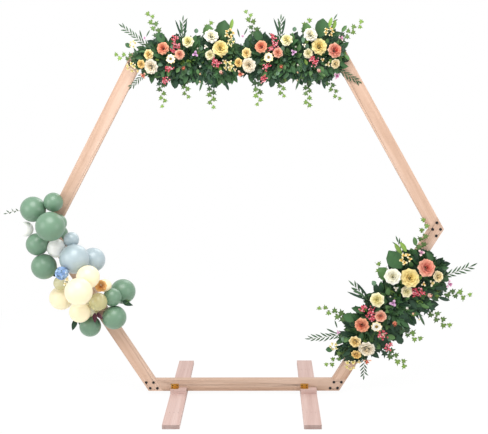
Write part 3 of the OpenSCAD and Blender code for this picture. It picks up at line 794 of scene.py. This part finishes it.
def one_of_the_greens(bunch, base, way, face, length, width, dice):
    """A rose, ivy, grey eucalyptus or moss-green leaf, picked by a throw of the dice."""
    pick = dice.random()
    if pick < 0.20:
        ivy_leaf(bunch, base, way, face, length * 0.85,
                 GREEN if pick < 0.08 else DEEP, dice)
    elif pick < 0.44:
        leaf(bunch, base, way, face, length, width, DEEP, dice, swell=0.45, blunt=0.7)
    elif pick < 0.70:
        leaf(bunch, base, way, face, length, width, GREEN, dice, swell=0.45, blunt=0.7)
    elif pick < 0.84:
        leaf(bunch, base, way, face, length * 0.8, width, MOSS, dice, swell=0.5, blunt=0.6)
    elif pick < 0.89:
        leaf(bunch, base, way, face, length * 0.7, width * 0.8, FRESH, dice, swell=0.5,
             blunt=0.6)
    else:
        leaf(bunch, base, way, face, length * 0.7, width, GREY_GREEN, dice, swell=0.55,
             blunt=0.5)


def bed_of_leaves(bunch, dice, last):
    """Rows of leaves over the whole swag: long ones at the rim, shorter ones on top."""
    # spacing, lowest, highest, shortest, longest, how far the tips stay inside the rim
    for gap, low, high, short, long_, inside in (
            (30, 10, 24, 84, 118, 0), (32, 22, 44, 66, 94, 22), (44, 42, 64, 48, 74, 50)):
        for a in np.arange(-440, 446, gap):
            down, up_ = reach_of_leaves(a)
            for b in np.arange(down + inside, up_ - inside + 1, gap):
                here = np.array([a + dice.uniform(-0.45, 0.45) * gap,
                                 b + dice.uniform(-0.45, 0.45) * gap,
                                 dice.uniform(low, high)])
                if here[0] > last:
                    continue
                heart = np.array([here[0] * 0.80, 0.1 * here[1], 14.0])
                way = here - heart
                way = way / (np.linalg.norm(way) + 1e-6)
                way = way + np.array([dice.uniform(-0.6, 0.6), dice.uniform(-0.6, 0.6),
                                      dice.uniform(-0.05, 0.25)])
                way = way / np.linalg.norm(way)
                length = dice.uniform(short, long_)
                base = here - way * length * 0.75
                base[2] = max(base[2], 7)
                face = (dice.uniform(-0.5, 0.5), dice.uniform(-0.3, 0.7), 1.0)
                one_of_the_greens(bunch, base, way, face, length,
                                  length * dice.uniform(0.42, 0.56), dice)


# broad and narrow leaves that stand out: from (along, up) to (along, up), width, colour
SINGLE_LEAVES = [
    ((236, 140), (262, 275), 104, GREEN), ((128, 150), (146, 246), 78, MOSS),
    ((48, 184), (56, 218), 32, GREY_GREEN), ((-190, 120), (-232, 196), 66, GREEN),
    ((330, 190), (352, 262), 30, FRESH), ((300, 200), (322, 282), 28, FRESH),
    ((-60, 160), (-96, 284), 15, DEEP), ((-50, 160), (-62, 282), 15, OLIVE),
    ((-40, 160), (-14, 282), 15, DEEP), ((-440, 88), (-474, 122), 36, GREEN),
    ((-350, 150), (-366, 214), 12, OLIVE), ((-318, 166), (-290, 214), 10, OLIVE),
    ((396, 176), (430, 222), 30, MOSS), ((-100, -150), (-126, -214), 46, DEEP),
    ((96, -140), (60, -236), 16, OLIVE), ((250, -160), (284, -232), 24, DEEP)]
print("leaves that stand out of the bed:", len(SINGLE_LEAVES))

# %% Trails and growing the swags
# kind, start along, end (along, up), leaf size; they leave the core where the CAD's do
TRAILS = [
    ("ivy", -172, (-295, 348), 42), ("ivy", 150, (152, -380), 42),
    ("ivy", -70, (-33, -300), 40), ("ivy", -235, (-214, -340), 44),
    ("ivy", 208, (392, -326), 42), ("ivy", 213, (552, 240), 42),
    ("ivy", -213, (-560, 30), 38), ("olive", -196, (-486, 232), 54),
    ("olive", 222, (520, -176), 58), ("olive", -252, (-446, -190), 50),
    ("olive", 186, (338, 262), 56), ("olive", -60, (-47, 268), 56),
    ("ivy", 110, (152, 284), 42)]


def grow_swag(name, place, dice):
    last = UNDER_FROM if name == "swag_top_left" else 1000
    matrix = swag_matrix(*place)
    leaves, trails = Bunch(), Bunch()
    bed_of_leaves(leaves, dice, last)
    for start, end, width, colour in SINGLE_LEAVES:
        if end[0] < last:
            way = np.array([end[0] - start[0], end[1] - start[1], 6.0])
            leaf(leaves, (*start, 34), way, (0.1, 0.2, 1), np.linalg.norm(way), width,
                 colour, dice, swell=0.52, blunt=0.55, curl=-0.2)
    for kind, begin, end, size in TRAILS:
        if end[0] >= last or (name == "swag_top_right" and end[0] < -400):
            continue
        side = math.copysign(1, end[1])
        start = (begin + (end[0] - begin) * 0.2, side * 8 + (end[1] - side * 8) * 0.2, 22)
        grow = ivy_trail if kind == "ivy" else olive_sprig
        grow(trails, start, (*end, 12), size, dice, sag=(0, 0, 12))
    pieces = [leaves.make(name + "_leaf_bed", LEAF_CLOTH, matrix),
              trails.make(name + "_leaf_trails", LEAF_CLOTH, matrix)]
    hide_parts(name + "_core", name + "_leaves")
    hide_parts(name + "_trails")
    for part, table in (("pale", PALE_FLOWERS), ("warm", WARM_FLOWERS)):
        heads = Bunch()
        if part == "pale":
            table = table + SMALL_FLOWERS
        for along, up_, radius, kind, heart, edge in table:
            if along > last:
                continue
            centre = np.array([along, up_, bloom_out(radius)])
            look = bloom_direction(along, up_)
            if kind != SPRAY:
                flower(heads, centre, look, radius * 1.06, kind, heart, edge, dice)
                continue
            # a spray of small lilies in the room of one bloom
            for k in range(5):
                a = math.tau * k / 5 + dice.uniform(-0.3, 0.3)
                off = np.array([math.cos(a), math.sin(a), 0.15]) * radius * 0.62
                flower(heads, centre + off, look + off / radius * 0.7, radius * 0.56, 4,
                       heart, edge, dice)
        piece = heads.make(f"{name}_{part}_flowers", PETAL_CLOTH, matrix)
        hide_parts(f"{name}_{part}_blooms")
        pieces.append(piece)
    berries = Bunch()
    for along, up_, radius in BERRY_SPRAYS + EXTRA_BERRIES:
        berry_spray(berries, np.array([along, up_, bloom_out(radius)]), radius, dice)
    piece = berries.make(name + "_berry_sprays", BERRY_SKIN, matrix)
    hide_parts(name + "_berries")
    pieces.append(piece)
    for piece in pieces:
        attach(piece, "root")
    print(name, "has", sum(len(p.data.polygons) for p in pieces), "faces")


def ball(bunch, centre, radius, colour, turns=10, levels=6):
    points, faces = [], []
    for i in range(levels + 1):
        a = math.pi * i / levels
        for k in range(turns):
            b = math.tau * k / turns
            points.append((radius * math.sin(a) * math.cos(b),
                           radius * math.sin(a) * math.sin(b), radius * math.cos(a)))
    for i in range(levels):
        for k in range(turns):
            a, b = i * turns + k, i * turns + (k + 1) % turns
            faces.append((a, a + turns, b + turns, b))
    bunch.add(np.array(points) + centre, faces, colour)


def berry_spray(bunch, centre, radius, dice):
    """Many small berries on short wires round a middle."""
    for k in range(26):
        a, b = dice.uniform(0, math.tau), dice.uniform(0.15, 1.35)
        reach = radius * dice.uniform(0.7, 2.0)
        way = np.array([math.cos(a) * math.sin(b), math.sin(a) * math.sin(b),
                        math.cos(b) * 0.7])
        tip = centre + way * reach
        twig(bunch, [centre, centre + way * reach * 0.6, tip], 1.8, srgb(110, 70, 60), 4)
        shade = BERRY if dice.random() < 0.6 else ROSE_PINK
        ball(bunch, tip, dice.uniform(4.4, 6.4), shade, 8, 5)


berry_finish = Finish("berry_skin")
berry_tint = berry_finish.node("Attribute", (("attribute_name", "tint"),))
berry_cloud = berry_finish.noise(berry_finish.place(), 120, 2)
berry_finish.set(Base_Color=berry_finish.mix(
    0.3, berry_tint.outputs["Color"],
    berry_finish.ramp(berry_cloud, (0.3, 0.6), (0.7, 1.0)), "MULTIPLY"), Roughness=0.35)
berry_finish.bump(berry_cloud, 0.1, 0.0004)
BERRY_SKIN = berry_finish.material
for number, (name, place) in enumerate(SWAGS.items()):
    grow_swag(name, place, random.Random(40 + number))

# %% [markdown]
# ## Balloons
# A balloon is nearly a ball, and flat where a neighbour presses on it. Each is a fine ball
# of points that is a little shorter along its own axis. Then every point beyond the plane
# where it meets a neighbour is pushed back onto that plane. The necks lie out of sight and
# are left out. Latex is satin, with a thin clear coat for its highlight.

# %% Balloon tables
# x, y, z, radius in millimetres, as the CAD shells
GREEN_BALLOONS = [
    (-1265, -80, 1274, 78), (-1137, -80, 1317, 59), (-1127, -208, 1196, 88),
    (-1121, -75, 1185, 55), (-1170, 79, 1076, 61), (-1258, -80, 1052, 70),
    (-1219, -106, 916, 79), (-769, 39, 700, 81), (-812, -79, 704, 58),
    (-805, -88, 572, 76), (-964, -82, 512, 68)]
BLUE_BALLOONS = [(-1053, -50, 1072, 48), (-1021, -124, 969, 91), (-940, 6, 924, 77)]
CREAM_BALLOONS = [
    (-924, -202, 878, 71), (-949, -337, 832, 82), (-1148, -35, 685, 77),
    (-997, -170, 642, 67), (-853, -80, 782, 41)]
WHITE_BALLOONS = [(-1142, -77, 1026, 59), (-1320, -80, 1150, 46)]
CLEAR_BALLOONS = [(-1129, -87, 801, 46), (-887, -148, 699, 58), (-959, -69, 623, 51)]
ALL_BALLOONS = (GREEN_BALLOONS + BLUE_BALLOONS + CREAM_BALLOONS + WHITE_BALLOONS
                + CLEAR_BALLOONS)
print("balloons in the cluster:", len(ALL_BALLOONS))

# %% Balloon shapes
def balloon(bunch, one, colour):
    centre, radius = np.array(one[:3]) / 1000, one[3] / 1000
    turns, levels = 40, 26
    # its axis points to the boards, behind and towards the middle of the arch
    tail = np.array([-centre[0] * 0.4 - 0.35, 0.5, (1.0 - centre[2]) * 0.4])
    m = basis(tail, (0, 0.2, 1))
    points, faces = [], []
    for i in range(levels + 1):
        a = math.pi * i / levels
        for k in range(turns):
            b = math.tau * k / turns
            squat = 1 - 0.05 * math.cos(a) ** 2
            p = np.array([math.sin(a) * math.cos(b), math.cos(a),
                          math.sin(a) * math.sin(b)])
            points.append(m @ (p * radius * squat))
    for i in range(levels):
        for k in range(turns):
            a, b = i * turns + k, i * turns + (k + 1) % turns
            faces.append((a, b, b + turns, a + turns))
    points = np.array(points)
    for other in ALL_BALLOONS:
        away = np.array(other[:3]) / 1000 - centre
        gap = np.linalg.norm(away)
        if gap < 0.001 or gap > radius + other[3] / 1000:
            continue
        keep = (gap ** 2 + radius ** 2 - (other[3] / 1000) ** 2) / (2 * gap) - 0.0004
        way = away / gap
        over = points @ way - keep
        points = points - np.outer(np.maximum(over, 0), way)
    tint = np.tile(np.array(colour), (len(points), 1))
    bunch.add(points + centre, faces, tint)


def latex(name, roughness, coat, through=0.0, see=1.0):
    skin = Finish(name)
    tint = skin.node("Attribute", (("attribute_name", "tint"),)).outputs["Color"]
    cloud = skin.noise(skin.place(), 14, 3)
    colour = skin.mix(0.35, tint, skin.ramp(cloud, (0.3, 0.84), (0.7, 1.0)), "MULTIPLY")
    fine = skin.noise(skin.place(), 900, 2)
    skin.set(Base_Color=colour, Roughness=roughness, Coat_Weight=coat,
             Coat_Roughness=0.22, Subsurface_Weight=through,
             Subsurface_Radius=(0.02, 0.02, 0.015), Alpha=see)
    skin.bump(fine, 0.03, 0.0004)
    return skin.material


SAGE, STEEL_BLUE, MILK = srgb(104, 138, 112), srgb(168, 184, 190), srgb(240, 240, 236)
VANILLA, CHAMPAGNE = srgb(248, 234, 196), srgb(212, 206, 150)
for name, table, colour, finish, slot in (
        ("green", GREEN_BALLOONS, SAGE, latex("sage_latex", 0.42, 0.35, 0.1),
         "sage_latex"),
        ("blue", BLUE_BALLOONS, STEEL_BLUE, latex("blue_latex", 0.36, 0.4, 0.1),
         "blue_grey_latex"),
        ("cream", CREAM_BALLOONS, VANILLA, latex("cream_latex", 0.4, 0.35, 0.15),
         "cream_latex"),
        ("white", WHITE_BALLOONS, MILK, latex("white_latex", 0.34, 0.4, 0.1),
         "white_latex"),
        ("clear", CLEAR_BALLOONS, CHAMPAGNE, latex("clear_latex", 0.2, 0.6, 0.0, 0.6),
         "gold_clear_latex")):
    skins = Bunch()
    for one in table:
        balloon(skins, one, colour)
    piece = skins.make("latex_" + name, finish)
    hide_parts("balloons_" + name)
    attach(piece, "root")
    print(piece.name, "holds", len(table), "balloons")

# %% [markdown]
# ## Flowers among the balloons
# A blue hydrangea and a gold rose lie on the balloons, a few cream flowers and dark leaves
# are tucked between them, and a thin sprig leads out to the left. A hydrangea head is a
# ball of small four-petalled flowers, so it is made by repeating one of them.

# %% Garland flowers
def hydrangea(bunch, centre, radius, dice, tone, pale):
    """A ball of four-petalled florets, placed evenly by the golden angle."""
    many, golden_angle = 46, 2.39996
    for k in range(many):
        high = 1 - 2 * (k + 0.5) / many
        a = k * golden_angle
        way = np.array([math.sqrt(1 - high * high) * math.cos(a), high,
                        math.sqrt(1 - high * high) * math.sin(a)])
        if way[1] > 0.45:
            continue
        here = centre + way * radius * 0.82
        look = basis(way, (0, 0, 1), dice.uniform(0, 6))
        mix_ = dice.random()
        tint = [t * (1 - mix_) + p * mix_ for t, p in zip(tone, pale)]
        for j in range(4):
            b = math.tau * j / 4
            out = look[:, 0] * math.cos(b) + look[:, 2] * math.sin(b)
            leaf(bunch, here, out + way * 0.5, way, radius * 0.36, radius * 0.32, tint,
                 dice, rows=4, cols=3, swell=0.6, blunt=0.5, cup=0.2, curl=-0.3)


garland = Bunch()
dice = random.Random(9)
hydrangea(garland, np.array([-1078, -215, 907.0]), 42, dice, srgb(84, 120, 176),
          srgb(168, 196, 226))
flower(garland, np.array([-866, -128, 797.0]), np.array([0, -1, 0.1]), 37, 1,
       srgb(226, 150, 60), srgb(246, 206, 140), dice)
for x, y, z, size in ((-1042, -222, 872, 20), (-1056, -226, 846, 15),
                      (-1020, -218, 852, 14)):
    flower(garland, np.array([x, y, float(z)]), np.array([0, -1, 0.2]), size, 4, BUTTER,
           IVORY, dice)
PLUM = srgb(92, 52, 66)
# place, direction, length, width, colour
for place, way, length, width, colour in (
        ((-1128, -60, 850), (-0.8, -0.5, 0.2), 74, 34, DEEP),
        ((-1120, -70, 862), (-0.4, -0.6, 0.7), 60, 30, GREEN),
        ((-1046, -90, 566), (-0.3, -0.4, -0.8), 80, 34, DEEP),
        ((-1030, -80, 560), (0.3, -0.4, -0.8), 66, 30, GREEN),
        ((-752, -70, 676), (0.8, -0.4, -0.3), 74, 34, DEEP),
        ((-750, -60, 660), (0.6, -0.5, 0.4), 60, 28, MOSS),
        ((-916, -130, 620), (0.1, -0.5, -0.8), 64, 30, PLUM),
        ((-904, -126, 618), (0.7, -0.5, -0.5), 56, 28, PLUM)):
    leaf(garland, np.array(place, float), np.array(way), (0, -1, 0.3), length, width,
         colour, dice)
path = bowed((-1343, -80, 1265), (-1428, -80, 1249), (0, 0, 6), 7)
twig(garland, path, 2.4, STEM)
for k in range(1, 7):
    side = 1 if k % 2 else -1
    leaf(garland, path[k], np.array([-1, 0, side * 0.8 if k < 6 else -0.1]), (0, -1, 0),
         24, 7, OLIVE, dice, rows=5, cols=3)
piece = garland.make("garland_blooms", PETAL_CLOTH, Matrix.Scale(0.001, 4))
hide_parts("garland_flowers")
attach(piece, "root")
print(piece.name, "has", len(piece.data.polygons), "faces")
